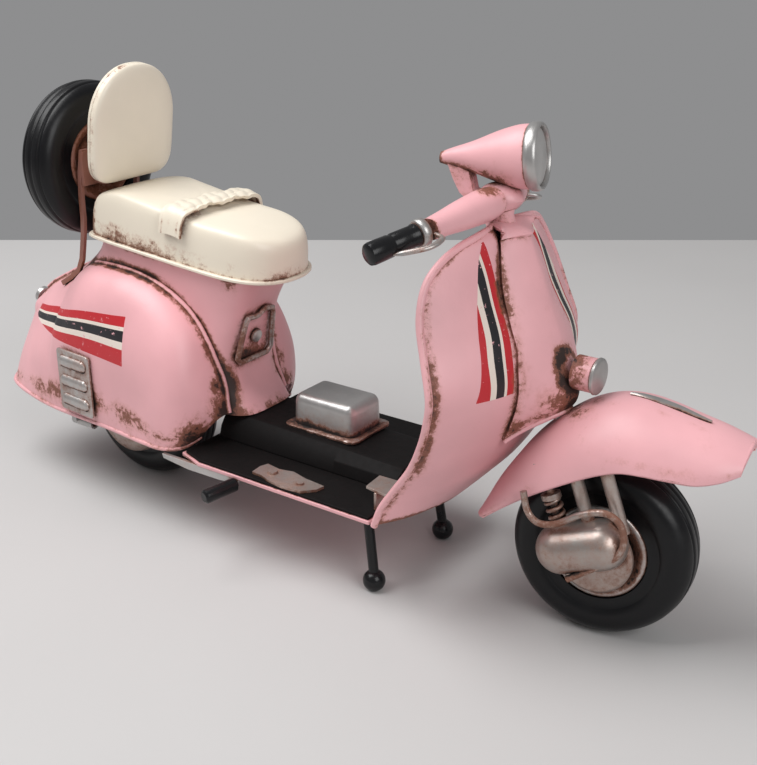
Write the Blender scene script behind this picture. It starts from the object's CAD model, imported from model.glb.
"""Tin scooter display model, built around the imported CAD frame."""

import math

import bmesh
import bpy
import numpy as np
from mathutils import Matrix, Vector, noise


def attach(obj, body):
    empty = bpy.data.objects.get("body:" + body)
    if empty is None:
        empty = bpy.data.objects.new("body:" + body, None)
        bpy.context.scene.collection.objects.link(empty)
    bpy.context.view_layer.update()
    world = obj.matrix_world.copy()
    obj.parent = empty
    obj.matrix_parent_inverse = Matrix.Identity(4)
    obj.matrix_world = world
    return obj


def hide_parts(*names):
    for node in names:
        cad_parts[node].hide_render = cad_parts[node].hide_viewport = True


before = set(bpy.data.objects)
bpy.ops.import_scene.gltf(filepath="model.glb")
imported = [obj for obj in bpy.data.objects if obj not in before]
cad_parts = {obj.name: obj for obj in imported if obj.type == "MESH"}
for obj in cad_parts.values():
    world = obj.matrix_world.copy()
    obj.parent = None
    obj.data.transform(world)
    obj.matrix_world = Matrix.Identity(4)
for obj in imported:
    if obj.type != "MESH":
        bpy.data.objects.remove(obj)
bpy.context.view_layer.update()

# ---- driving sizes in millimetres, the same as the CAD's ----
MM = 0.001
SHEET = 0.9
WHEEL_R = 27.0
TYRE_W = 17.4
RIM_R = 14.6
AXLE_R = 2.05
REAR_X = -82.7
FRONT_X = 101.0
RAKE = 21.0
TRAIL = 3.0
STEER_REST = 9.0
STEM_X = FRONT_X - TRAIL
STEM_LOW = 30.0
FLOOR_Z = 30.2
SEAT_MID = -46.0
SEAT_Z = 90.0
SEAT_SLOPE = 4.5
BACK_LEAN = 8.0
SPARE_AT = (-105.9, 0, 115.4)
SPARE_W = 14.6
SPARE_BORE = 2.0
LENS_UP = 6.0
LIGHT_ASKEW = 5.0


def add_object(name, data):
    thing = bpy.data.objects.new(name, data)
    bpy.context.scene.collection.objects.link(thing)
    return thing


def aim(thing, at, target):
    thing.location = at
    thing.rotation_euler = (Vector(target) - Vector(at)).to_track_quat("-Z", "Y").to_euler()


# ---- small mathematics ----
def shift(x, y, z):
    return Matrix.Translation((x, y, z))


def turn(axis, degrees):
    return Matrix.Rotation(math.radians(degrees), 4, axis)


def cosd(a):
    return math.cos(math.radians(a))


def sind(a):
    return math.sin(math.radians(a))


def mix(a, b, t):
    return a + (b - a) * t


def clamp(v, low=0.0, high=1.0):
    return max(low, min(high, v))


def spow(v, p):
    return math.copysign(abs(v) ** p, v)


def bell(distance, width):
    return math.exp(-((distance / width) ** 2))


def curve(pts, x):
    """Value at x of a smooth curve through [x, value] points with x rising."""
    i = 0
    while i < len(pts) - 2 and x >= pts[i + 1][0]:
        i += 1

    def slope(k):
        a, b = pts[max(k - 1, 0)], pts[min(k + 1, len(pts) - 1)]
        return (b[1] - a[1]) / (b[0] - a[0])

    p, q = pts[i], pts[i + 1]
    h = q[0] - p[0]
    t = clamp((x - p[0]) / h)
    m, n = slope(i) * h, slope(i + 1) * h
    return (
        (2 * t**3 - 3 * t * t + 1) * p[1]
        + (t**3 - 2 * t * t + t) * m
        + (3 * t * t - 2 * t**3) * q[1]
        + (t**3 - t * t) * n
    )


def path(pts, u):
    """Point at u, from 0 to 1, of a smooth line through points of any size."""
    n = len(pts) - 1
    s = clamp(u * n, 0, n - 0.00001)
    i = int(s)
    t = s - i
    a, b, c, d = (np.array(pts[clamp(k, 0, n)], float) for k in (i - 1, i, i + 1, i + 2))
    return 0.5 * (2 * b + (c - a) * t + (2 * a - 5 * b + 4 * c - d) * t * t + (3 * b - a - 3 * c + d) * t**3)


def unit(v):
    return v / max(np.linalg.norm(v), 1e-9)


def steps(count):
    return [i / count for i in range(count + 1)]


# places that parts are drawn in
AT_STEM = shift(STEM_X, 0, WHEEL_R) @ turn("Y", -RAKE)
STEERED = AT_STEM @ turn("Z", STEER_REST) @ AT_STEM.inverted()
ON_SEAT = shift(SEAT_MID, 0, SEAT_Z) @ turn("Y", SEAT_SLOPE) @ shift(-SEAT_MID, 0, -SEAT_Z)
ON_BACK = shift(-86.5, 0, 111) @ turn("Y", BACK_LEAN) @ turn("Z", 90) @ turn("X", 90)
ON_SPARE = shift(*SPARE_AT) @ turn("Y", -90)
ASKEW = STEERED @ shift(56, 0, 0) @ turn("Z", LIGHT_ASKEW) @ shift(-56, 0, 0)
ON_LENS = ASKEW @ shift(70, 0, 136) @ turn("Y", 90 - LENS_UP)
REAR_HUB = shift(REAR_X, 0, WHEEL_R) @ turn("X", -90)
FRONT_HUB = STEERED @ shift(FRONT_X, 0, WHEEL_R) @ turn("X", -90)
MIRROR_Y = Matrix.Scale(-1, 4, (0, 1, 0))


def mirrored(side):
    """Place of a right-hand shape on its own side, 1, or across the middle, -1."""
    return Matrix.Identity(4) if side > 0 else MIRROR_Y


def side_name(side):
    return "right" if side > 0 else "left"


# ---- meshes ----
def piece(
    name, verts, faces, material, body, node=None, place=None, wear=None, marks=None, sharp=40, bevel=0.0
):
    """Mesh object from points in millimetres, which may stand for a CAD node.

    Wear and marks are values kept per point.
    """
    place = place or Matrix.Identity(4)
    moved = [place @ Vector(v) for v in verts]
    mesh = bpy.data.meshes.new(name)
    mesh.from_pydata([v * MM for v in moved], [], faces)
    layers = dict(marks or {})
    if wear is not None:
        layers["wear"] = wear
    for key, values in layers.items():
        layer = mesh.attributes.new(key, "FLOAT", "POINT")
        layer.data.foreach_set("value", np.asarray(values, dtype=np.float32))
    shape = bmesh.new()
    shape.from_mesh(mesh)
    bmesh.ops.recalc_face_normals(shape, faces=shape.faces)
    shape.to_mesh(mesh)
    shape.free()
    mesh.shade_smooth()
    mesh.set_sharp_from_angle(angle=math.radians(sharp))
    mesh.materials.append(material)
    thing = add_object(name, mesh)
    if bevel:
        soften(thing, bevel)
    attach(thing, body)
    if node:
        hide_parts(node)
    return thing


def soften(thing, width, angle=35):
    """Small rounded edges."""
    edge = thing.modifiers.new("soft_edges", "BEVEL")
    edge.width = width * MM
    edge.segments = 2
    edge.limit_method = "ANGLE"
    edge.angle_limit = math.radians(angle)


DENT_SIZE = 13
NO_MARK = -5.0
FAR_FACE_WEAR = 0.35


def grid_normals(g, wrap):
    up = np.concatenate([g[1:], g[-1:]]) - np.concatenate([g[:1], g[:-1]])
    if wrap:
        along = np.roll(g, -1, axis=1) - np.roll(g, 1, axis=1)
    else:
        along = np.concatenate([g[:, 1:], g[:, -1:]], 1) - np.concatenate([g[:, :1], g[:, :-1]], 1)
    n = np.cross(up, along)
    return n / np.maximum(np.linalg.norm(n, axis=2, keepdims=True), 1e-9)


def dented(g, normals, depth, size):
    """Slight uneven hollows of hand-beaten sheet."""
    moved = g.copy()
    for i in range(g.shape[0]):
        for j in range(g.shape[1]):
            moved[i, j] += normals[i, j] * depth * noise.noise(Vector(g[i, j] / size))
    return moved


def sheet(name, g, t, material, body, wrap=False, wear=None, marks=None, dent=0.0, **more):
    """Closed sheet of thickness t behind a grid of points; its far face has no marks and little wear."""
    g = np.asarray(g, float)
    n, m = g.shape[:2]
    normals = grid_normals(g, wrap)
    if dent:
        g = dented(g, normals, dent, DENT_SIZE)
    inner = g - t * normals
    k = n * m
    last = m if wrap else m - 1
    faces = []
    for i in range(n - 1):
        for j in range(last):
            j2 = (j + 1) % m
            a, b, c, d = i * m + j, i * m + j2, (i + 1) * m + j2, (i + 1) * m + j
            faces += [(a, b, c, d), (a + k, d + k, c + k, b + k)]
    for j in range(last):
        j2 = (j + 1) % m
        top = (n - 1) * m
        faces += [(j, j + k, j2 + k, j2), (top + j, top + j2, top + j2 + k, top + j + k)]
    if not wrap:
        for i in range(n - 1):
            a, b = i * m, (i + 1) * m
            faces += [(a, b, b + k, a + k), (a + m - 1, a + m - 1 + k, b + m - 1 + k, b + m - 1)]
    verts = np.concatenate([g.reshape(-1, 3), inner.reshape(-1, 3)])
    twice = {}
    for key, values in (marks or {}).items():
        face = np.asarray(values, float).reshape(-1)
        twice[key] = np.concatenate([face, np.full(k, NO_MARK)])
    if wear is not None:
        face = np.asarray(wear, float).reshape(-1)
        wear = np.concatenate([face, FAR_FACE_WEAR * face])
    return piece(name, verts.tolist(), faces, material, body, wear=wear, marks=twice, **more)


def loft(name, rings, material, body, wear=None, closed=False, **more):
    """Solid through rings of points; closed joins the last ring to the first, else the ends are capped."""
    g = np.asarray(rings, float)
    n, m = g.shape[:2]
    faces = []
    for i in range(n if closed else n - 1):
        for j in range(m):
            a, b = i * m, ((i + 1) % n) * m
            faces.append((a + j, a + (j + 1) % m, b + (j + 1) % m, b + j))
    verts = g.reshape(-1, 3).tolist()
    if isinstance(wear, float):
        wear = [[wear] * m] * n
    values = None if wear is None else np.asarray(wear, float).reshape(-1).tolist()
    if not closed:
        for ring in (0, n - 1):
            centre = len(verts)
            verts.append(g[ring].mean(axis=0).tolist())
            if values is not None:
                values.append(values[ring * m])
            faces += [(centre, ring * m + (j + 1) % m, ring * m + j) for j in range(m)]
    return piece(name, verts, faces, material, body, wear=values, **more)


def around(count):
    """Angles in degrees that divide a full turn."""
    return [360 * k / count for k in range(count)]


def lathe(name, profile, material, body, place, count=96, wear=None, **more):
    """Ring-shaped solid from a profile of [radius, height] turned round the Z axis."""
    rings = [[(r * cosd(a), r * sind(a), z) for r, z in profile] for a in around(count)]
    if callable(wear):
        wear = [[wear(r, z) for r, z in profile] for _ in range(count)]
    return loft(name, rings, material, body, wear=wear, closed=True, place=place, **more)


def tube_rings(line, radius, sides, flat=1.0):
    """Rings round a line of points, without twist; radius may be a function of 0..1."""
    line = [np.asarray(p, float) for p in line]
    count = len(line) - 1
    side = None
    rings = []
    for i, p in enumerate(line):
        d = unit(line[min(i + 1, count)] - line[max(i - 1, 0)])
        if side is None:
            side = unit(np.cross(d, (0.05, 0.02, 1)))
        side = unit(side - d * np.dot(side, d))
        up = np.cross(side, d)
        r = radius(i / count) if callable(radius) else radius
        rings.append([p + r * (cosd(a) * side + flat * sind(a) * up) for a in around(sides)])
    return rings


def smooth_line(pts, count):
    return [path(pts, u) for u in steps(count)]


# ---- materials ----
RUST = (0.42, 0.15, 0.07, 1)
BROWN = (0.16, 0.045, 0.014, 1)
SOOT = (0.013, 0.009, 0.008, 1)
STRIPE_RED = (0.52, 0.018, 0.026, 1)
STRIPE_WHITE = (0.80, 0.70, 0.62, 1)
STRIPE_BLACK = (0.012, 0.011, 0.014, 1)
# where each band starts, as a part of the stripes' whole width
STRIPES = [
    (0.0, STRIPE_RED), (0.2, STRIPE_WHITE), (0.28, STRIPE_BLACK), (0.5, STRIPE_WHITE), (0.65, STRIPE_RED),
]


class Shader:
    """A node tree with short calls for the nodes used here."""

    def __init__(self, name):
        self.material = bpy.data.materials.new(name)
        self.material.use_nodes = True
        self.tree = self.material.node_tree
        self.surface = self.tree.nodes["Principled BSDF"]
        self.place = self.add("ShaderNodeTexCoord").outputs["Object"]

    def add(self, kind, inputs=None, **settings):
        made = self.tree.nodes.new(kind)
        for key, value in settings.items():
            setattr(made, key, value)
        for key, value in (inputs or {}).items():
            self.put(made.inputs[key], value)
        return made

    def put(self, socket, value):
        if isinstance(value, bpy.types.NodeSocket):
            self.tree.links.new(value, socket)
        else:
            socket.default_value = value

    def math(self, kind, a, b, clamped=False):
        return self.add("ShaderNodeMath", {0: a, 1: b}, operation=kind, use_clamp=clamped).outputs[0]

    def times(self, a, b):
        return self.math("MULTIPLY", a, b)

    def plus(self, a, b, clamped=False):
        return self.math("ADD", a, b, clamped)

    def minus(self, a, b):
        return self.math("SUBTRACT", a, b)

    def noise(self, scale, detail=3, rough=0.5):
        inputs = {"Vector": self.place, "Scale": scale, "Detail": detail, "Roughness": rough}
        return self.add("ShaderNodeTexNoise", inputs).outputs["Fac"]

    def value(self, name):
        return self.add("ShaderNodeAttribute", attribute_name=name).outputs["Fac"]

    def step(self, value, low, high):
        made = self.add("ShaderNodeMapRange", {"Value": value, "From Min": low, "From Max": high})
        made.interpolation_type = "SMOOTHSTEP"
        return made.outputs["Result"]

    def blend(self, amount, a, b):
        made = self.add("ShaderNodeMix", data_type="RGBA")
        self.put(made.inputs[0], amount)
        self.put(made.inputs[6], a)
        self.put(made.inputs[7], b)
        return made.outputs[2]

    def crease(self, reach):
        made = self.add("ShaderNodeAmbientOcclusion", {"Distance": reach * MM}, samples=6)
        return self.minus(1.0, made.outputs["AO"])

    def set(self, **values):
        for key, value in values.items():
            self.put(self.surface.inputs[key.replace("_", " ")], value)

    def gloss(self, rough, fine, spread, stain, dulling):
        """Roughness that varies by spread about its middle value, and rises where stained."""
        base = self.plus(self.times(stain, dulling), rough - spread / 2)
        self.set(Roughness=self.plus(self.times(fine, spread), base))

    def bump(self, height, strength, distance):
        made = self.add("ShaderNodeBump", {"Height": height, "Strength": strength, "Distance": distance * MM})
        self.put(self.surface.inputs["Normal"], made.outputs[0])


def stripes(shader, base):
    """Painted stripes inside the decal area, chipped along their length."""
    inside, v = shader.value("decal_u"), shader.value("decal_v")
    within = shader.math("GREATER_THAN", inside, 0.0)
    shown = shader.times(within, shader.math("GREATER_THAN", v, 0.0))
    bands = shader.add("ShaderNodeValToRGB", {"Fac": v})
    ramp = bands.color_ramp
    ramp.interpolation = "CONSTANT"
    while len(ramp.elements) < len(STRIPES):
        ramp.elements.new(0.5)
    for element, (at, colour) in zip(ramp.elements, STRIPES):
        element.position = at
        element.color = colour
    chips = shader.step(shader.noise(520, 5, 0.75), 0.63, 0.66)
    shown = shader.times(shown, shader.minus(1.0, chips))
    return shader.blend(shown, base, bands.outputs["Color"])


def ragged(shader, reach, crease):
    """Wear plus dirt in creases, broken up by noise at three sizes; clean areas stay almost plain."""
    wear = shader.plus(shader.value("wear"), shader.times(shader.crease(reach), crease))
    grain = shader.times(shader.noise(560, 6, 0.78), 1.9)
    patch = shader.times(shader.noise(130, 4, 0.65), 1.7)
    drift = shader.times(shader.noise(27, 2, 0.5), 2.0)
    uneven = shader.plus(grain, shader.plus(patch, drift))
    uneven = shader.minus(uneven, 2.85)
    amount = shader.plus(shader.times(wear, 1.3), 0.34, clamped=True)
    return shader.plus(wear, shader.times(uneven, amount))


def mottled(s, colour, size, detail, up, down):
    """A colour that drifts between a lighter and a darker tone."""
    light = tuple(min(1.0, c * up) for c in colour) + (1,)
    dark = tuple(c * down for c in colour) + (1,)
    return s.blend(s.step(s.noise(size, detail), 0.3, 0.7), dark, light)


def painted(name, colour, rough=0.42, tone=0.06, reach=3.0, rub=0.5, decal=False, crease=0.75):
    """Satin paint with brown and black rubbed into creases, seams and worn edges."""
    s = Shader(name)
    base = mottled(s, colour, 38, 3, 1 + tone, 1 - tone)
    if decal:
        base = stripes(s, base)
    mask = ragged(s, reach, crease)
    halo = s.times(s.step(mask, rub - 0.4, rub + 0.1), 0.42)
    stain = s.times(s.step(mask, rub - 0.1, rub + 0.14), 0.85)
    core = s.times(s.step(mask, rub + 0.34, rub + 0.56), 0.92)
    base = s.blend(halo, base, RUST)
    base = s.blend(stain, base, BROWN)
    base = s.blend(core, base, SOOT)
    s.set(Base_Color=base)
    fine = s.noise(900, 2)
    s.gloss(rough, fine, 0.14, stain, 0.22)
    height = s.plus(s.times(s.noise(120, 3), 0.6), s.times(fine, 0.12))
    s.bump(s.minus(height, s.times(stain, 0.12)), 0.4, 0.4)
    return s.material


def aged_metal(name, colour, rough=0.36, metallic=0.75, rub=0.5, reach=2.5, grime=0.0):
    """Silver paint, dull and stained brown in its corners."""
    s = Shader(name)
    base = mottled(s, colour, 55, 4, 1.15, 0.82)
    mask = s.plus(ragged(s, reach, 1.0), grime)
    halo = s.times(s.step(mask, rub - 0.5, rub + 0.1), 0.4)
    stain = s.step(mask, rub - 0.12, rub + 0.2)
    core = s.step(mask, rub + 0.3, rub + 0.5)
    base = s.blend(halo, base, RUST)
    base = s.blend(s.times(stain, 0.85), base, BROWN)
    base = s.blend(core, base, SOOT)
    s.set(Base_Color=base, Metallic=s.times(s.minus(1.0, stain), metallic))
    fine = s.noise(1100, 2)
    s.gloss(rough, fine, 0.18, stain, 0.25)
    s.bump(s.plus(s.times(s.noise(160, 3), 0.5), s.times(fine, 0.25)), 0.3, 0.3)
    return s.material


def blackened(name, colour, rough, dust=0.1, grain=900, bump=0.12, sheen=0.3):
    """Black paint or rubber with a little dust and uneven sheen."""
    s = Shader(name)
    grey = tuple(c + dust for c in colour) + (1,)
    rubbed = s.step(s.plus(s.noise(95, 5, 0.65), s.times(s.value("wear"), 0.3)), 0.52, 0.86)
    base = s.blend(s.times(rubbed, 0.6), tuple(colour) + (1,), grey)
    s.set(Base_Color=base, Specular_IOR_Level=sheen)
    fine = s.noise(grain, 3)
    s.gloss(rough, fine, 0.16, rubbed, 0.15)
    s.bump(fine, bump, 0.2)
    return s.material


PINK_COLOUR = (0.79, 0.415, 0.44)
PINK = painted("pink_paint", PINK_COLOUR)
PINK_DECAL = painted("pink_paint_striped", PINK_COLOUR, decal=True)
CREAM = painted("cream_paint", (0.83, 0.75, 0.62), rough=0.34, tone=0.03, rub=0.72, crease=0.85)
SILVER = aged_metal("aged_silver", (0.46, 0.45, 0.44), rub=0.44)
STAINED = aged_metal("stained_silver", (0.46, 0.45, 0.43), rub=0.44, grime=0.36)
DULL = aged_metal("dull_lens", (0.46, 0.45, 0.44), rough=0.45, metallic=0.35, rub=0.75)
PATINA = painted("brown_patina", (0.34, 0.15, 0.12), rough=0.5, tone=0.35, rub=0.2)
TYRE = blackened("tyre_black", (0.004, 0.004, 0.005), 0.34, dust=0.006)
GRIP = blackened("grip_black", (0.008, 0.008, 0.009), 0.24, dust=0.012)
FLOOR_BLACK = blackened(
    "floor_black", (0.006, 0.005, 0.005), 0.6, dust=0.008, grain=500, bump=0.3, sheen=0.12
)
STAND_BLACK = blackened("stand_black", (0.008, 0.008, 0.009), 0.22, dust=0.012)


# ---- body under the seat ----
BODY_FRONT = [[38, -24], [42, -27], [48, -31], [56, -32.3], [74, -28.6], [82, -25], [89, -21]]
BODY_BACK = [[38, -138], [50, -139.5], [57, -139], [62, -131], [68, -119], [75, -107], [82, -98], [89, -93.5]]
BODY_WIDE = [[38, 16], [48, 16.4], [60, 16], [74, 15.4], [89, 16.2]]
BODY_MID = -62.0
ARCH = [[-137.5, 59], [-130, 65], [-121, 70], [-110, 75.5], [-98, 80], [-85, 82.8], [-72, 83.2], [-60, 81],
        [-50, 76.5], [-43, 70.5], [-38.5, 63], [-35.5, 54], [-33.2, 46], [-31.5, 40]]
HEM = [[-141, -15, 29.5], [-137, -20, 29], [-128, -24, 29], [-117, -26.8, 28.8], [-106, -28.6, 28.6],
       [-94, -29.5, 28.6], [-83, -30.2, 28.8], [-73, -31, 29], [-64, -31.9, 29], [-56, -32.6, 29],
       [-49, -32.8, 29], [-43.5, -31.2, 29.2], [-40, -27.5, 30], [-38, -22.5, 32]]
ARCH_LINE = np.array([path(ARCH, u) for u in steps(160)])
HATCH_AT = np.array([-30.2, -1.6, 64.8])
# centre, reach and strength of each spot of dirt
GRIME_SPOTS = [
    ((-39, -25, 33), 8, 1.25), ((-34, -15.5, 41), 6, 1.2), ((-36, -17, 50), 3.5, 0.8),
    ((-137, -17, 40), 4, 0.4), ((-52, -30, 33), 4, 0.5), ((-97, -28, 33), 5, 0.45),
]


def grime(p):
    """Where dirt has gathered, as a value from 0 to 1."""
    q = np.array((p[0], -abs(p[1]), p[2]))
    return max(s * bell(np.linalg.norm(q - np.array(c)), r) for c, r, s in GRIME_SPOTS)


def lift(x, z):
    return max(0, (z - 60) / 29) * math.tan(math.radians(SEAT_SLOPE)) * (SEAT_MID - x)


def body_pt(z, a):
    front = curve(BODY_FRONT, z) - BODY_MID
    back = BODY_MID - curve(BODY_BACK, z)
    e = 0.45 if cosd(a) > 0 else 0.72
    x = BODY_MID + (front if cosd(a) > 0 else back) * spow(cosd(a), e)
    return [x, curve(BODY_WIDE, z) * spow(sind(a), e), z + lift(x, z)]


def body_y(x, z):
    """Half-width of the body where it passes x and z."""
    front = x > BODY_MID
    r = curve(BODY_FRONT, z) - BODY_MID if front else BODY_MID - curve(BODY_BACK, z)
    e = 0.45 if front else 0.72
    c = min(0.999, (abs(x - BODY_MID) / r) ** (1 / e))
    return curve(BODY_WIDE, z) * (1 - c * c) ** (e / 2)


def arch_gap(x, z):
    return np.min(np.hypot(ARCH_LINE[:, 0] - x, ARCH_LINE[:, 1] - z))


def body_wear(p, z):
    side = 0.85 * bell(arch_gap(p[0], p[2]) - 0.7, 1.5) if abs(p[1]) > 8 else 0
    top = 0.8 * bell(89.6 - z, 1.2)
    front_edge = 0.55 * bell(abs(p[1]) - 14.6, 1.5) * clamp((p[0] + 36) / 6)
    hatch = 0.6 * bell(max(0, abs(p[1] + 1.6) - 5), 3) * bell(p[2] - 58.5, 3.5) * (p[0] > -40)
    low = 0.6 * bell(z - 39, 2.5)
    return max(side, top, front_edge, hatch, low, grime(p))


def rear_body():
    levels = [39 + 50.2 * t for t in steps(46)]
    angles = [-k * 2.5 + 2 * sind(2 * k * 2.5) for k in range(144)]
    grid = [[body_pt(z, a) for a in angles] for z in levels]
    wear = [[body_wear(p, z) for p in row] for z, row in zip(levels, grid)]
    sheet("body_shell", grid, SHEET, PINK, "frame", wrap=True, wear=wear, dent=0.25, node="rear_body")


def arch_pt(u):
    x, z = path(ARCH, u)
    return np.array([x, -body_y(x, z) - 0.9, z])


def cowl_pt(u, v):
    a, h = arch_pt(u), path(HEM, u)
    full = min(1, 0.15 + 2.4 * u)
    s = mix(v, sind(90 * v) ** 0.8, full)
    c = mix(v, 1 - cosd(90 * v) ** 0.85, full)
    puff = 2.2 * sind(180 * v) * sind(180 * u)
    return [mix(a[0], h[0], c), mix(a[1], h[1], s) - puff, mix(a[2], h[2], c)]


def cowl_wear(u, v, p):
    arch = 0.7 * bell(v - 0.02, 0.045)
    hem = 0.5 * bell(1 - v - 0.07, 0.05)
    front = 0.8 * bell(1 - u, 0.035)
    back = 0.6 * bell(u, 0.03)
    return max(arch, hem, front, back, grime(p))


def decal_place(x, z):
    """Depth inside the flank's stripes in millimetres, and place across them; they narrow to the tail."""
    top = curve([[-128, 59.3], [-120, 61.4], [-105, 65.4], [-85.5, 69.6], [-64, 71.8]], x)
    low = curve([[-128, 56.6], [-122, 56.0], [-92, 56.0], [-63, 54.9]], x)
    fan = mix(8, 17.0, clamp((x + 126) / 62))
    return min(-63.4 - x, z - low, x + 127), (top - z) / fan


def cowl_side(side):
    us, vs = steps(190), steps(90)
    flat = [[cowl_pt(u, v) for v in vs] for u in us]
    wear = [[cowl_wear(u, v, p) for v, p in zip(vs, row)] for u, row in zip(us, flat)]
    marks = [[decal_place(p[0], p[2]) for p in row] for row in flat]
    name = f"cowl_{side_name(side)}"
    sheet(
        name + "_shell", flat, -SHEET, PINK_DECAL, "frame", wear=wear, dent=0.35,
        place=mirrored(side),
        marks={"decal_u": [[m[0] for m in r] for r in marks], "decal_v": [[m[1] for m in r] for r in marks]},
        node=name,
    )
    hem = [np.array(cowl_pt(u, 1.0)) + (0, 0.3, 0.3) for u in steps(120)]
    loft(
        name + "_hem", tube_rings(hem, 0.85, 10), PINK, "frame",
        wear=[[0.22 + 0.3 * bell(t - 0.9, 0.12) for _ in range(10)] for t in steps(120)],
        place=mirrored(side),
    )


def cowl_beads():
    for side in (1, -1):
        line = [arch_pt(0.05 + 0.95 * t) + (0, 0.35, 0) for t in steps(120)]
        rings = tube_rings(line, 0.95, 12)
        wear = [[0.05 + 0.6 * abs(cosd(30 * k)) ** 3 for k in range(12)] for _ in rings]
        loft(
            f"arch_bead_{side_name(side)}", rings, PINK, "frame", wear=wear, place=mirrored(side),
            node="cowl_beads",
        )


# ---- floor ----
def tunnel():
    rows = []
    for t in steps(12):
        x, top, foot, head = mix(-36, 37, t), mix(38.6, 36.6, t), 15.4, 11.5
        z = FLOOR_Z
        half = [(foot, z), (foot - 1.2, z + 4), (head + 0.4, top - 1.2), (head - 0.9, top)]
        half.append((head - 4, top + 0.2))
        right = [(x, -y, h) for y, h in half]
        left = [(x, y, h) for y, h in reversed(half)]
        rows.append(right + [(x, 0, top + 0.3)] + left)
    sheet("floor_tunnel", rows, SHEET, FLOOR_BLACK, "frame", sharp=60, bevel=0.35, node="tunnel")


def rounded_box_rings(half_x, half_y, levels, corner, count=12):
    """Rings of a box with rounded corners; levels give [height, inset]."""
    rings = []
    for z, inset in levels:
        ring = []
        for quarter in range(4):
            cx = (1 if quarter in (0, 3) else -1) * (half_x - corner)
            cy = (1 if quarter in (0, 1) else -1) * (half_y - corner)
            for k in range(count):
                a = 90 * quarter + 90 * k / (count - 1)
                r = corner - inset
                ring.append((cx + r * cosd(a), cy + r * sind(a), z))
        rings.append(ring)
    return rings


BOX_AT = (1.2, 2.8, 38.2)


def box_wear(p):
    """Brown round the cast box's foot, more on its near corner."""
    return 0.75 * bell(p[2], 2.4) + 0.5 * bell(p[2] - 1, 4) * clamp(-0.04 * (p[0] + 1.4 * p[1]))


def tunnel_box():
    dome = [(0.3, 0.0), (4, 0.05), (7.8, 0.2)]
    dome += [(7.8 + 3.2 * sind(a), 0.2 + 2.6 * (1 - cosd(a))) for a in range(10, 91, 10)]
    rings = rounded_box_rings(12.5, 8.8, dome, 3.2)
    top = rings[-1]
    centre = np.mean(np.array(top), axis=0)
    for shrink in (0.8, 0.5, 0.2):
        rise = (0, 0, 0.2 * (1 - shrink))
        rings.append([tuple(centre + (np.array(p) - centre) * shrink + rise) for p in top])
    wear = [[box_wear(p) for p in ring] for ring in rings]
    loft("floor_box", rings, SILVER, "frame", wear=wear, place=shift(*BOX_AT), node="tunnel_box")
    skirt = rounded_box_rings(14.6, 10.9, [(-0.4, 0), (0.3, 0), (0.5, 0.25)], 2.5)
    loft(
        "floor_box_skirt", skirt, SILVER, "frame", place=shift(*BOX_AT), node="tunnel_box",
        wear=[[0.55 + 0.3 * clamp(-0.05 * (p[0] + p[1])) for p in ring] for ring in skirt],
    )


# ---- leg shield ----
SHIELD_EDGE = [[29, 33.5, 42.5], [36, 34.2, 45.5], [44, 35.4, 51], [53, 37.2, 57.5], [62, 39.4, 62.2],
               [70, 41.2, 65.2], [78, 42, 66.5], [88, 40.2, 63.6], [98, 38, 60.6], [106, 33.6, 59.3],
               [111, 28, 60], [114.8, 20.5, 62], [116.8, 12, 64]]
SHIELD_MID = [[29, 52], [38, 60.5], [46, 67.5], [57, 74.3], [66, 78], [75, 80], [85, 78.8], [92, 75.2],
              [100, 71.5], [110, 69], [118, 68], [121, 68]]
VALLEY = [[29, 0], [57, 0], [66, 2.6], [74, 4.8], [85, 8], [92, 7.2], [100, 6.6], [110, 7.8], [121, 11]]
COVER = [[57, 14.5, 76.6], [60, 15, 80.5], [64, 15.6, 85], [69, 16.2, 89], [75, 16.8, 88.6], [81, 16.8, 86],
         [88, 15.2, 82.6], [96, 13.6, 79], [104, 12.2, 76], [110, 10.4, 73.6], [114.6, 8, 71.8]]
HORN_AT = (88.5, 0, 77.8)


def column(pts, which):
    return [[p[0], p[which]] for p in pts]


def edge_hw(z):
    return curve(column(SHIELD_EDGE, 1), z)


def edge_x(z):
    return curve(column(SHIELD_EDGE, 2), z)


def shield_x(z, y):
    w = min(1.0, abs(y) / edge_hw(z))
    mid = curve(SHIELD_MID, z)
    return mid - (mid - edge_x(z)) * w**2.3 - curve(VALLEY, z) * math.exp(-((y / 6.5) ** 2))


def cover_hw(z):
    return curve(column(COVER, 1), z)


def cover_x(z):
    return curve(column(COVER, 2), z)


def cover_pt(z, t):
    side = shield_x(z, cover_hw(z)) + SHEET * 1.1
    return [mix(cover_x(z), side, abs(t) ** 1.5), cover_hw(z) * t, z]


def shield_stripe(y, z):
    """Depth inside the stripes beside the horn cover, and place across them; they narrow to the top."""
    if y < 0:
        inner = curve([[75, 17.8], [85, 17.0], [92, 14.9], [104.7, 13.7], [115, 14.6]], z)
        outer = curve([[75, 30.2], [94.2, 24.4], [103, 20.8], [110.2, 18.1], [115.2, 15.2]], z)
    else:
        inner = cover_hw(clamp(z, 57, 114)) - 0.3
        outer = curve([[75, 29.5], [88, 26], [96.4, 23.8], [105, 19.8], [114, 11.8]], z)
    return min(outer - abs(y), z - 74.7, 115.2 - z), (abs(y) - inner) / (12.6 if y < 0 else 15.0)


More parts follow.
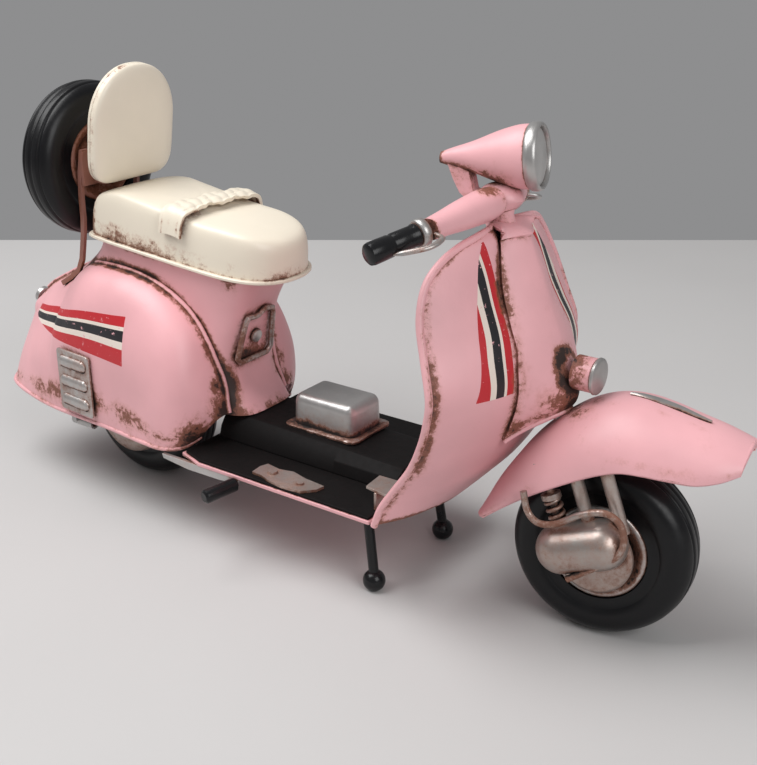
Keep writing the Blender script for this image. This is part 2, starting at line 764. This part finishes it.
def leg_shield():
    levels = [29 + 87.8 * t for t in steps(140)]
    cols = [math.copysign(abs(t) ** 0.85, t) for t in [k / 90 for k in range(-90, 91)]]
    grid, wear, along, across = [], [], [], []
    for z in levels:
        w = edge_hw(z)
        row = [[shield_x(z, w * c), w * c, z] for c in cols]
        grid.append(row)
        wear.append([shield_wear(p, w) for p in row])
        marks = [shield_stripe(p[1], p[2]) for p in row]
        along.append([m[0] for m in marks])
        across.append([m[1] for m in marks])
    sheet(
        "shield_sheet", grid, -SHEET, PINK_DECAL, "frame", wear=wear, dent=0.3,
        marks={"decal_u": along, "decal_v": across}, node="leg_shield",
    )


def shield_wear(p, w):
    z = p[2]
    edge = 0.55 * bell(w - abs(p[1]) - 1.2, 1.5)
    foot = 0.8 * bell(z - 29, 1.5)
    beside = (0.3 + 0.45 * (z > 96)) * bell(abs(p[1]) - cover_hw(clamp(z, 57, 114)) - 0.6, 1.4) * (z > 60)
    under = 0.95 * bell(max(0, abs(p[1]) - 12), 4) * bell(z - 63, 4)
    crown = 0.8 * bell(117 - z, 1.2)
    return max(edge, foot, beside, under, crown)


def shield_bead():
    levels = [29, 36, 44, 53, 62, 70, 78, 88, 98, 106, 111, 114.4, 116.3]
    side = [[edge_x(z) - 0.2, edge_hw(z) + 0.5, z] for z in levels]
    line = [[x, -y, z] for x, y, z in side]
    line += [[58.7 + 0.108 * y * y, y, 116.9] for y in (-6, 0, 6)]
    line += side[::-1]
    rings = tube_rings(smooth_line(line, 300), 1.1, 12)
    wear = [[0.02 + 0.42 * abs(sind(30 * k)) ** 3 for k in range(12)] for _ in rings]
    loft("shield_roll", rings, PINK, "frame", wear=wear, node="shield_bead")


def cover_wear(z, t, p):
    from_horn = math.hypot(p[1], p[2] - HORN_AT[2])
    seam = (0.34 + 0.35 * (z > 95)) * bell(1 - t, 0.14)
    hem = 0.8 * bell(z - 68.4, 1.8)
    ring = 1.2 * bell(from_horn - 5.4, 2.2)
    below = 1.2 * bell(p[1] * 0.8, 7) * bell(p[2] - 70, 4.5)
    return max(seam, hem, ring, below, 0.6 * bell(114.6 - z, 1.5))


def horn_cover():
    grid, wear = [], []
    for z in [66 + 48.6 * t for t in steps(60)]:
        row = []
        for k in range(-24, 25):
            t = k / 24
            drop = (80 - z) * 0.6 * abs(t) ** 1.6 if z < 80 else 0
            row.append(cover_pt(z - drop, t))
        grid.append(row)
        wear.append([cover_wear(z, abs(k / 24), p) for k, p in zip(range(-24, 25), row)])
    sheet("horn_cover_sheet", grid, -SHEET, PINK, "frame", wear=wear, dent=0.25, node="horn_cover")
    cap = []
    for t in steps(16):
        row = []
        for k in range(-24, 25):
            front = np.array(cover_pt(114.6, k / 24))
            y = front[1] * (1 + 0.25 * t)
            back = np.array([58.9 + 0.105 * y * y, y, 116.9])
            row.append(mix(front, back, t) + (0.3 * sind(180 * t), 0, 1.1 * sind(180 * t)))
        cap.append(row)
    ends = [0.4 * bell(abs(k) - 24, 4) for k in range(-24, 25)]
    wear = [[0.1 + 0.5 * bell(t, 0.12) + end for end in ends] for t in steps(16)]
    sheet("horn_cover_cap", cap, SHEET, PINK, "frame", wear=wear, node="horn_cover")
    lip = tube_rings([np.array(p) + (0.15, 0, 0) for p in grid[0]], 0.75, 10)
    wear = [[0.1 + 0.5 * bell(k - 24, 3) + 0.4 * bell(k - 44, 3) for _ in range(10)] for k in range(49)]
    loft("horn_cover_lip", lip, PINK, "frame", wear=wear, node="horn_cover")
    barrel = [(5, 0), (5, 5.8), (4.8, 6), (0.6, 6), (0.6, 0)]
    lathe(
        "horn_barrel", barrel, PINK, "frame", shift(*HORN_AT) @ turn("Y", 90),
        wear=lambda r, z: 0.85 * bell(z, 1.6) + 0.25 * bell(z - 6, 0.6),
    )
    disc = [(0.05, 0), (5.2, 0), (5.4, 0.3), (5.3, 0.9), (4.9, 1.2), (4.3, 1.3), (3, 1.55), (0.05, 1.7)]
    lathe(
        "horn_face", disc, SILVER, "frame", shift(*HORN_AT) @ turn("Y", 90) @ shift(0, 0, 6),
        wear=lambda r, z: 0.55 * bell(z, 0.3) * (r > 4.8), node="horn_disc",
    )


# ---- seat and backrest ----
SEAT_TOP = [[-94, 103.6], [-86, 106], [-76, 108], [-60, 108.2], [-52, 107.2], [-46, 105.8], [-30, 105.4],
            [-20, 104], [-13, 102]]
STRAP_X = -49.0


def seat_rim(a):
    c, s = cosd(a), sind(a)
    x = SEAT_MID + (33 if c > 0 else 45) * spow(c, 0.48 if c > 0 else 0.09)
    hw = curve([[-91, 17], [-70, 18], [-45, 17.8], [-28, 17.4], [-13, 17]], x)
    return x, hw * spow(s, 0.9 if c > 0 else 0.16)


def seat_pt(r, a):
    px, py = seat_rim(a)
    x, y = mix(SEAT_MID, px, r), py * r
    h = curve(SEAT_TOP, x) - SEAT_Z - 1 - 0.9 * (y / 20) ** 2
    return [x, y, SEAT_Z + 1 + h * max(0, 1 - r**28) ** 0.38]


def seat_wear(p):
    """Brown under the backrest's foot."""
    return 0.75 * bell(p[0] + 89, 2.2)


def seat():
    angles = [1.5 * k for k in range(240)]
    radii = [1, 0.9985, 0.996, 0.991, 0.985, 0.977, 0.968, 0.956, 0.94]
    radii += [0.92, 0.89, 0.84, 0.76, 0.66, 0.52, 0.36, 0.2, 0.08]
    rings = [[[*seat_rim(a), SEAT_Z + 0.6] for a in angles]]
    rings += [[seat_pt(r, a) for a in angles] for r in radii]
    wear = [[0.45 for _ in angles]]
    wear += [[max(0.4 * bell(1 - r, 0.003), seat_wear(seat_pt(r, a))) for a in angles] for r in radii]
    loft("seat_cushion_shell", rings, CREAM, "frame", place=ON_SEAT, wear=wear, node="seat_shell")
    pan_rings = []
    for z, grow in ((-0.6, 0.0), (-0.6, 0.75), (-0.3, 1.0), (0.3, 1.0), (0.6, 0.75), (0.6, 0.0)):
        ring = []
        for a in angles:
            x, y = seat_rim(a)
            longer = (0.035 if x > SEAT_MID else 0.02) * grow
            ring.append([SEAT_MID + (x - SEAT_MID) * (1 + longer), y * (1 + 0.07 * grow), SEAT_Z + z])
        pan_rings.append(ring)
    wear = [[0.05 + 0.3 * bell(a - 315, 24) + 0.25 * bell(a - 250, 8) for a in angles] for _ in pan_rings]
    loft("seat_flange", pan_rings, CREAM, "frame", place=ON_SEAT, wear=wear, node="seat_pan")


def strap():
    """Padded band over the seat, pinched into folds, with a stitched line along each edge."""
    grid, wear = [], []
    for i in range(25):
        t = i / 24
        row = []
        for k in range(-80, 81):
            w = 1 - (1 - abs(k) / 80) ** 1.8
            y = 17.9 * math.copysign(w, k)
            h = curve(SEAT_TOP, STRAP_X) - SEAT_Z - 0.9 * (y / 20) ** 2
            pinch = 1 - 0.3 * bell(y + 4, 2.2) - 0.22 * bell(y - 8, 2.6) + 0.12 * bell(y + 16, 3)
            x = STRAP_X + 0.06 * y + (t - 0.5) * 8.4 * pinch
            crown = 0.55 * (1 - abs(2 * t - 1) ** 3)
            fold = 0.22 * math.sin(11 * t + 0.5 * y) + 0.16 * math.sin(1.6 * y + 4 * t)
            stitch = -0.42 * (bell(t - 0.14, 0.035) + bell(t - 0.86, 0.035))
            rise = SEAT_Z + 1.2 + (h - 0.4) * max(0, 1 - (w * 0.993) ** 28) ** 0.38 + 0.3 + crown
            row.append([x, y * (1 + 0.045 * w**12), rise + fold * (1 - w**8) + stitch * (1 - w**8)])
        grid.append(row)
        seam = max(bell(t - 0.14, 0.035), bell(t - 0.86, 0.035))
        border = 0.72 * seam + 0.3 * bell(min(t, 1 - t), 0.03)
        wear.append([border + 0.55 * bell(abs(p[1]) - 18.4, 0.5) for p in row])
    sheet(
        "seat_strap_band", grid, -1.3, CREAM, "frame", place=ON_SEAT, wear=wear, sharp=60, node="seat_strap",
    )


BACK_W = 18.4
BACK_H = 39.5


def back_rim(a):
    c, s = cosd(a), sind(a)
    if s > 0:
        return BACK_W * spow(c, 0.9), BACK_H - BACK_W * 1.02 + BACK_W * 1.02 * s
    return (BACK_W - 2.6 * s * s) * spow(c, 0.22), (BACK_H - BACK_W * 1.02) * (1 - (-s) ** 0.3)


def back_half(name, depth, node, place):
    angles = [k * 2.25 for k in range(160)]
    radii = [1, 0.995, 0.985, 0.97, 0.95, 0.92, 0.87, 0.8, 0.7, 0.55, 0.4, 0.25, 0.1]
    rings = [[[*back_rim(a), 0] for a in angles]]
    for r in radii:
        ring = []
        for a in angles:
            px, py = back_rim(a)
            ring.append([px * r, mix(BACK_H * 0.46, py, r), depth * (0.35 + 0.65 * max(0, 1 - r**6) ** 0.5)])
        rings.append(ring)
    wear = [[0.6 for _ in angles]] + [[0.45 * bell(1 - r, 0.006) for _ in angles] for r in radii]
    loft(name, rings, CREAM, "frame", place=place, wear=wear, node=node)


def backrest():
    back_half("backrest_front_shell", 3.8, "backrest_front", ON_BACK @ shift(0, 0, 0.05))
    behind = ON_BACK @ Matrix.Scale(-1, 4, (0, 0, 1))
    back_half("backrest_back_shell", 2.6, "backrest_back", behind @ shift(0, 0, 0.05))


# ---- wheels ----
def tyre_profile(width):
    """Outline of a tyre with three shallow grooves round its tread."""
    mid_r = (WHEEL_R + RIM_R) / 2 + 0.3
    points = []
    for k in range(120):
        a = -120 + 240 * k / 119
        r = mid_r + (WHEEL_R - mid_r) * spow(cosd(a), 0.86)
        z = width / 2 * spow(sind(a), 0.8)
        groove = sum(bell(z - g, 0.42) for g in (-3.4, 0, 3.4)) if cosd(a) > 0.2 else 0
        points.append([max(RIM_R, r - 0.55 * groove), z])
    return [[RIM_R, points[0][1]]] + points + [[RIM_R, points[-1][1]]]


def rim_profile(bore, width):
    hw = width / 2 - 2.4
    side = [[bore, hw + 0.6], [4.0, hw + 0.6], [4.5, hw + 0.3], [5.2, hw - 1.6], [6.6, hw - 2.5],
            [8.4, hw - 2.4], [10.2, hw - 1.0], [11.6, hw + 0.8], [13, hw + 1.5], [13.8, hw + 1.4],
            [14.3, hw + 0.9], [RIM_R, hw + 0.4]]
    line = [list(path(side, u)) for u in steps(44)]
    return line + [[r, -z] for r, z in reversed(line)]


def wheel(name, place, body, tyre_node, rim_node, bore, metal, width=TYRE_W):
    lathe(name + "_tyre", tyre_profile(width), TYRE, body, place, count=144, sharp=50, node=tyre_node)
    lathe(
        name + "_rim", rim_profile(bore, width), metal, body, place, count=120,
        wear=lambda r, z: 0.7 * bell(r - 8.4, 2.4) + 0.5 * bell(r - 12.2, 1.2) + 0.25 * bell(r - 5, 1.2),
        node=rim_node,
    )


# ---- handlebar and headlight ----
BAR_AT = np.array((62.2, 0, 120.2))
BAR_BEND = np.array((54.5, -33.5, 119.8))
BAR_END = np.array((45.6, -50, 115.2))
GRIP_DIR = unit(BAR_END - BAR_BEND)
LIGHT_LINE = [[43.4, 0, 133.6], [47, 0, 134], [53, 0, 134.6], [60, 0, 135.2], [65.6, 0, 135.6],
              [69.4, 0, 135.9]]
LIGHT_SIZE = [[1.6], [2.7], [4.4], [7.0], [8.6], [8.9]]


def on_grip(side, along):
    x, y, z = GRIP_DIR
    place = shift(*(BAR_BEND + GRIP_DIR * along))
    place = place @ turn("Z", math.degrees(math.atan2(y, x))) @ turn("Y", math.degrees(math.acos(z)))
    return STEERED @ mirrored(side) @ place


def handlebar():
    for side in (1, -1):
        tag = side_name(side)
        place = STEERED @ mirrored(side)
        d = unit(BAR_BEND - BAR_AT)
        sizes = [[4.6, 4.5], [9, 4.9], [14, 4.7], [20, 4.3], [26, 3.7], [31, 3.3], [33.4, 3.1]]
        line = [4.6 + 28.8 * t for t in steps(48)]
        pts = [BAR_AT + d * s + (0, 0, 3.9 * (1 - s / 34)) for s in line]
        rings = tube_rings(pts, lambda t: curve(sizes, 4.6 + 28.8 * t), 36, 0.95)
        wear = [[bar_wear(s, p[2] - centre[2]) for p in ring] for s, centre, ring in zip(line, pts, rings)]
        loft(f"bar_sleeve_{tag}", rings, PINK, "steering", place=place, wear=wear, node="bar_sleeves")
        collar = [(0.1, 0), (3.6, 0), (3.9, 0.4), (3.9, 1.9), (3.55, 2.4), (3.2, 2.5), (0.1, 2.5)]
        lathe(
            f"bar_collar_{tag}", collar, SILVER, "steering", on_grip(side, 0.8), count=48,
            wear=lambda r, z: 0.6 * bell(z, 0.4), node="bar_collars",
        )
        lathe(f"grip_{tag}", grip_profile(), GRIP, "steering", on_grip(side, 3.3), count=64, node="grips")
        a = BAR_BEND + (4.2, -0.6, -0.6)
        pts = [a + (-1.4, 0, 0), a + (1.4, -2, -0.4), a + (-0.2, -7, -2), BAR_END + (5.2, 4.4, 0)]
        rings = tube_rings(smooth_line(pts, 40), lambda t: 0.8 * clamp(6 * (1 - t) + 0.35), 16, 0.8)
        loft(
            f"brake_lever_{tag}", rings, SILVER, "steering", place=place,
            wear=0.3, node="brake_levers",
        )


def bar_wear(along, above):
    """Brown at both ends of a sleeve and a streak along its top."""
    streak = 0.8 * bell(above - 4.6, 2.0) * bell(along - 8, 5)
    return max(0.7 * bell(along - 33.4, 1.0), 0.5 * bell(along - 5, 2.2), streak)


def grip_profile():
    """Smooth grip with a rolled lip at each end and one narrow groove."""
    lip = [[0.1, 0], [2.7, 0], [3.1, 0.3], [3.18, 0.8], [2.95, 1.3]]
    body = [[3.0, 4], [3.02, 7.6], [2.8, 8.1], [2.8, 8.5], [3.02, 9], [3.1, 12], [3.1, 14.6]]
    return lip + body + [[2.9, 15.4], [2.2, 15.9], [0.1, 16]]


def yoke():
    """Nacelle that joins the stem to both bar sleeves and the headlight's neck."""
    low = np.array([STEM_X - sind(RAKE) * 99.5, 0, WHEEL_R + cosd(RAKE) * 99.5])
    high = BAR_AT + np.array((-0.5, 0, 3.5))
    rings = []
    for t in steps(16):
        p = mix(low, high, t)
        r = mix(4.2, 5.6, t**0.7)
        lean = RAKE * (1 - t)
        rings.append([[p[0] + mix(1, 1.2, t) * r * cosd(a) * cosd(lean), p[1] + r * sind(a),
                       p[2] + r * cosd(a) * sind(lean)] for a in range(0, 360, 8)])
    centre = np.mean(np.array(rings[-1]), axis=0)
    top = rings[-1]
    for a in range(9, 90, 9):
        rise = (0, 0, 4.76 * sind(a))
        rings.append([tuple(centre + (np.array(p) - centre) * cosd(a) + rise) for p in top])
    wear = [[max(0.9 * bell(i, 2), 0.62 * bell(i - 24, 3) * bell(a - 22, 14)) for a, _ in enumerate(ring)]
            for i, ring in enumerate(rings)]
    loft("bar_nacelle", rings, PINK, "steering", place=STEERED, wear=wear, node="handlebar_yoke")


def stem_sleeve():
    """Pink tube round the stem, between the horn cover and the nacelle."""
    profile = [(2.02, 0), (2.9, 0), (3.1, 0.5), (3.1, 3.5), (3.9, 5.3), (2.02, 5.3)]
    lathe(
        "stem_sleeve", profile, PINK, "steering", STEERED @ AT_STEM @ shift(0, 0, 94.6), count=48,
        wear=lambda r, z: 0.25 + 0.5 * bell(z, 1.2), node="handlebar_yoke",
    )


def headlight():
    rings, wear = [], []
    for u in steps(48):
        p = path(LIGHT_LINE, u)
        r = path(LIGHT_SIZE, u)[0]
        lean = LENS_UP * u
        angles = range(0, 360, 6)
        rings.append([p + np.array((-r * sind(lean) * cosd(a), -r * sind(a), r * cosd(a))) for a in angles])
        ends = max(0.8 * bell(1 - u, 0.03), 0.8 * bell(u, 0.08))
        below = 0.75 * clamp(4.5 * (0.88 - u))
        wear.append([max(ends, below * bell(a - 148, 36)) for a in angles])
    loft("headlight_bowl", rings, PINK, "steering", place=ASKEW, wear=wear, node="headlight_shell")
    outline = [[45.8, 132.8], [52.6, 130.8], [54, 125.8], [57.5, 124], [56, 120.5], [50.2, 124.4], [48, 128]]
    flat = [[[x, y, z] for x, z in outline] for y in (-2.6, 2.6)]
    loft("headlight_neck", flat, PINK, "steering", place=STEERED, wear=0.3, bevel=0.5)
    ring = [(8.1, -0.6), (9, -0.6), (9.4, -0.1), (9.5, 0.8), (9.45, 1.9), (9.2, 2.6), (8.85, 2.88)]
    ring += [(8.45, 2.8), (8.15, 2.4), (8.1, 1.6)]
    lathe(
        "headlight_bezel", ring, SILVER, "steering", ON_LENS,
        wear=lambda r, z: 0.3 * bell(z + 0.6, 0.5) - 0.25, node="headlight_rim",
    )
    dome = [(0.05, -0.4), (8.09, -0.4), (8.09, 1.3)]
    dome += [(8.09 * cosd(a), 1.3 + 1.4 * sind(a)) for a in range(8, 90, 8)] + [(0.05, 2.7)]
    lathe("headlight_face", dome, DULL, "steering", ON_LENS, wear=-0.1, node="headlight_lens")


# ---- front mudguard ----
# x and z of the crown, x and z of the edge, and half-width, from the rear end forward
GUARD = [[66, 33, 68, 33.6, 15.5], [69.3, 41.5, 74, 38.5, 16.2], [75, 51, 81, 43.6, 16.6],
         [80.5, 58.2, 88, 48, 17], [86.5, 64, 95, 52, 17.2], [92.5, 68.4, 101, 55, 17.3],
         [99.5, 71.6, 107, 57, 17.2], [107, 72.6, 113, 57.4, 17], [116, 71.4, 119, 57.2, 16.4],
         [125, 69, 126.5, 57, 15.2], [132, 67, 132.6, 58.4, 13.4], [138.4, 64.8, 137.4, 60.4, 10.4]]


def guard_pt(u, w):
    gx, gz, ex, ez, hw = path(GUARD, u)
    c = 1 - cosd(90 * min(1.0, abs(w)))
    return [mix(gx, ex, c), hw * spow(sind(90 * w), 0.96), mix(gz, ez, c)]


def guard_wear(u, w):
    edge = 0.72 * bell(0.9 - abs(w), 0.08)
    ends = max(0.7 * bell(u, 0.03), 0.5 * bell(1 - u, 0.02))
    beside_crest = 0.5 * bell(abs(w) - 0.2, 0.05) * bell(u - 0.62, 0.2)
    under_shield = 1.15 * bell(w, 0.8) * bell(u - 0.42 - 0.06 * abs(w), 0.07)
    return max(edge, ends, beside_crest, under_shield)


def mudguard():
    us, ws = steps(110), [k / 30 for k in range(-30, 31)]
    grid = [[guard_pt(u, w) for w in ws] for u in us]
    wear = [[guard_wear(u, w) for w in ws] for u in us]
    sheet(
        "mudguard_sheet", grid, -SHEET, PINK, "steering", place=STEERED, wear=wear, dent=0.3,
        node="front_fender",
    )
    line = [np.array(guard_pt(1, w)) + (-0.2, 0, 0.3) for w in ws]
    rings = tube_rings(line, 0.75, 10)
    loft("mudguard_tip_roll", rings, PINK, "steering", place=STEERED, wear=0.2)
    for side in (1, -1):
        line = [np.array(guard_pt(u, side)) + (0, -0.1 * side, 0.2) for u in steps(120)]
        rings = tube_rings(line, 0.8, 10)
        loft(
            f"mudguard_roll_{side_name(-side)}", rings, PINK, "steering", place=STEERED,
            wear=[[0.12 + 0.25 * (k % 5 < 2) for k in range(10)] for _ in rings],
        )


def crest():
    grid = []
    for i in range(41):
        t = i / 40
        u, half = 0.6 + 0.24 * t, 0.05 * sind(180 * t) + 0.02
        across = [k / 8 for k in range(-8, 9)]
        grid.append([np.array(guard_pt(u, half * c)) + (0, 0, 1.2 + 0.5 * (1 - c**2)) for c in across])
    sheet(
        "mudguard_crest", grid, 0.8, SILVER, "steering", place=STEERED,
        wear=[[0.55 * bell(1 - abs(k) / 8, 0.3) for k in range(-8, 9)] for _ in grid], node="fender_crest",
    )


# ---- fork ----
def link_rod():
    pts = [[81.5, -20, 46.5], [83, -20, 41], [86.4, -20, 38], [91.7, -20, 38.9], [98.8, -20.6, 43.7],
           [105, -20.6, 45.6], [109.4, -20.4, 43.6], [111, -20, 39], [110.4, -20, 35], [107.2, -20, 31],
           [96.2, -20, 22.8]]
    rings = tube_rings(smooth_line(pts, 120), 1.0, 14)
    loft(
        "fork_link", rings, STAINED, "steering", place=STEERED, wear=0.22, node="link_rod",
    )


def damper():
    place = STEERED @ AT_STEM @ shift(-3.6, -13.4, 0)
    rod = [(0.05, 5), (1.1, 5), (1.1, 10.2), (2.9, 10.2), (2.9, 11.8), (1.1, 11.8), (1.1, 18.8), (2.9, 18.8),
           (2.9, 20.4), (1.1, 20.4), (1.1, 28.6), (0.05, 28.6)]
    lathe(
        "damper_rod", rod, STAINED, "steering", place, count=32, sharp=35, wear=0.2, node="front_damper",
    )
    turns = 3
    spin = [(t, 360 * turns * t) for t in steps(240)]
    line = [[2.1 * cosd(a), 2.1 * sind(a), 12 + 2.2 * turns * t] for t, a in spin]
    rings = tube_rings(line, 0.6, 10)
    loft("damper_spring", rings, STAINED, "steering", place=place, wear=0.15)


# ---- small parts ----
LOUVRES_AT = (-88.6, -30.95, 43)


def louvres():
    for side in (1, -1):
        place = mirrored(side) @ shift(*LOUVRES_AT) @ turn("Z", -4) @ turn("X", 90)
        tag = side_name(side)
        plate = rounded_box_rings(8.75, 11.5, [(0, 0), (0.6, 0), (0.8, 0.2)], 1.2, 6)
        loft(
            f"louvre_plate_{tag}", plate, SILVER, "frame", place=place, wear=0.2, node="cowl_grilles",
        )
        for k in (-1, 0, 1):
            line = [[x, 7.2 * k, 0.5] for x in [-7.2 + 14.4 * t for t in steps(30)]]
            rings = tube_rings(line, lambda t: 2.3 * min(1, 9 * t + 0.15, 9 * (1 - t) + 0.15) ** 0.5, 20, 0.7)
            loft(
                f"louvre_{tag}_{k + 1}", rings, SILVER, "frame", place=place,
                wear=[[0.1 + 1.1 * clamp((7.2 * k - 1.1 - p[1]) / 0.7) for p in ring] for ring in rings],
            )


def hatch():
    outline = [[-8.8, -8.6], [8.8, -8.6], [7, 8.6], [2.6, 9.6], [-1, 7.6], [-6.4, 8.2]]
    place = shift(*HATCH_AT) @ turn("Y", 12) @ turn("Z", 90) @ turn("X", 90)
    line = []
    for i, p in enumerate(outline):
        q = outline[(i + 1) % 6]
        for t in (0.12, 0.3, 0.5, 0.7, 0.88):
            line.append([mix(p[0], q[0], t), mix(p[1], q[1], t), 0.9])
    rings = []
    count = len(line)
    for i in range(count):
        d = unit(np.array(line[(i + 1) % count]) - np.array(line[i - 1]))
        up = np.array((0, 0, 1))
        out = np.cross(d, up)
        rings.append([np.array(line[i]) + cosd(a) * out + sind(a) * up for a in range(0, 360, 30)])
    loft(
        "hatch_frame", rings, SILVER, "frame", place=place, closed=True, wear=0.35, node="hatch",
    )
    knob = [(0.05, -0.2), (2.3, -0.2), (2.45, 0.5), (2.1, 1.2), (1.2, 1.5), (0.05, 1.55)]
    lathe(
        "hatch_knob", knob, SILVER, "frame", place @ shift(0.5, -0.5, 0), count=40,
        wear=lambda r, z: 0.55 * bell(z, 0.6),
    )


# the CAD nodes that stay, by finish, each with its edges' rounding in millimetres
KEPT = [
    (PINK, {"under_tray": 0.3}),
    (FLOOR_BLACK, {"floor_mat": 0.25}),
    (STAINED, {
        "brake_pedal": 0.25, "toe_plate": 0.25, "axle_brackets": 0.2, "drum_cover": 0.3,
        "front_fork": 0.2, "brake_plate": 0.2, "hub_casing": 0.2,
    }),
    (SILVER, {
        "tail_light": 0.15, "head_tube": 0.15, "head_bushes": 0.1, "rear_axle": 0.2, "exhaust_tip": 0.15,
        "kick_lever": 0.25, "steering_stem": 0, "front_axle": 0.2,
    }),
    (PATINA, {"spare_carrier": 0.3, "spare_nut": 0.3}),
    (GRIP, {"kick_rubber": 0.2}),
    (STAND_BLACK, {"stand_frame": 0, "stand_feet": 0, "stand_clip": 0.2}),
]


def finish_kept():
    for node, material, rounding in [(n, m, r) for m, nodes in KEPT for n, r in nodes.items()]:
        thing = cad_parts[node]
        for slot in thing.material_slots:
            slot.material = material
        if not rounding:
            continue
        join = thing.modifiers.new("join", "WELD")
        join.merge_threshold = 0.00001
        soften(thing, rounding, 40)


# ---- floor, light and camera, in metres ----
FLOOR_TURN = 35.2
FLOOR_BEHIND = 0.368
FLOOR_REACH = 3
CAMERA_AT = (0.2241, -0.2892, 0.2031)
CAMERA_AIM = (0.01995, 0, 0.0583)
CAMERA_LENS = 56.47
LIGHTS_AIM = (0, 0, 0.06)
LIGHTS = {
    "key": ((-0.35, -0.25, 0.85), 0.7, 9.0),
    "fill": ((0.85, -0.35, 0.6), 0.6, 4.5),
}


def stage():
    s = Shader("pale_floor")
    tone = s.step(s.noise(3, 4), 0.2, 0.8)
    s.set(Base_Color=s.blend(tone, (0.50, 0.488, 0.482, 1), (0.55, 0.538, 0.532, 1)), Roughness=0.7)
    mesh = bpy.data.meshes.new("floor")
    toward = np.array((sind(FLOOR_TURN), -cosd(FLOOR_TURN)))
    across = np.array((cosd(FLOOR_TURN), sind(FLOOR_TURN))) * FLOOR_REACH
    far, near = -FLOOR_BEHIND * toward, FLOOR_REACH * toward
    corners = [far - across, far + across, near + across, near - across]
    mesh.from_pydata([(x, y, 0) for x, y in corners], [], [(0, 1, 2, 3)])
    mesh.materials.append(s.material)
    add_object("floor", mesh)


def area_light(name, at, size, power):
    lamp = bpy.data.lights.new(name, "AREA")
    lamp.size = size
    lamp.energy = power
    aim(add_object(name, lamp), at, LIGHTS_AIM)


def light():
    world = bpy.data.worlds.new("studio")
    world.use_nodes = True
    back = world.node_tree.nodes["Background"]
    back.inputs["Color"].default_value = (0.27, 0.27, 0.274, 1)
    back.inputs["Strength"].default_value = 1.0
    bpy.context.scene.world = world
    for name, settings in LIGHTS.items():
        area_light(name, *settings)


def camera():
    lens = bpy.data.cameras.new("camera")
    lens.lens = CAMERA_LENS
    lens.sensor_width = 36
    lens.clip_start = 0.01
    holder = add_object("camera", lens)
    aim(holder, CAMERA_AT, CAMERA_AIM)
    bpy.context.scene.camera = holder


def look():
    """Plain colour response, so that paint colours stay as mixed."""
    bpy.context.scene.view_settings.view_transform = "Standard"


def build():
    rear_body()
    cowl_side(1)
    cowl_side(-1)
    cowl_beads()
    louvres()
    hatch()
    tunnel()
    tunnel_box()
    leg_shield()
    shield_bead()
    horn_cover()
    seat()
    strap()
    backrest()
    wheel("rear", REAR_HUB, "rear_wheel", "rear_tyre", "rear_rim", AXLE_R, SILVER)
    wheel("front", FRONT_HUB, "front_wheel", "front_tyre", "front_rim", AXLE_R, SILVER)
    wheel("spare", ON_SPARE, "frame", "spare_tyre", "spare_rim", SPARE_BORE, PATINA, SPARE_W)
    handlebar()
    yoke()
    stem_sleeve()
    headlight()
    mudguard()
    crest()
    link_rod()
    damper()
    finish_kept()


build()
stage()
light()
camera()
look()
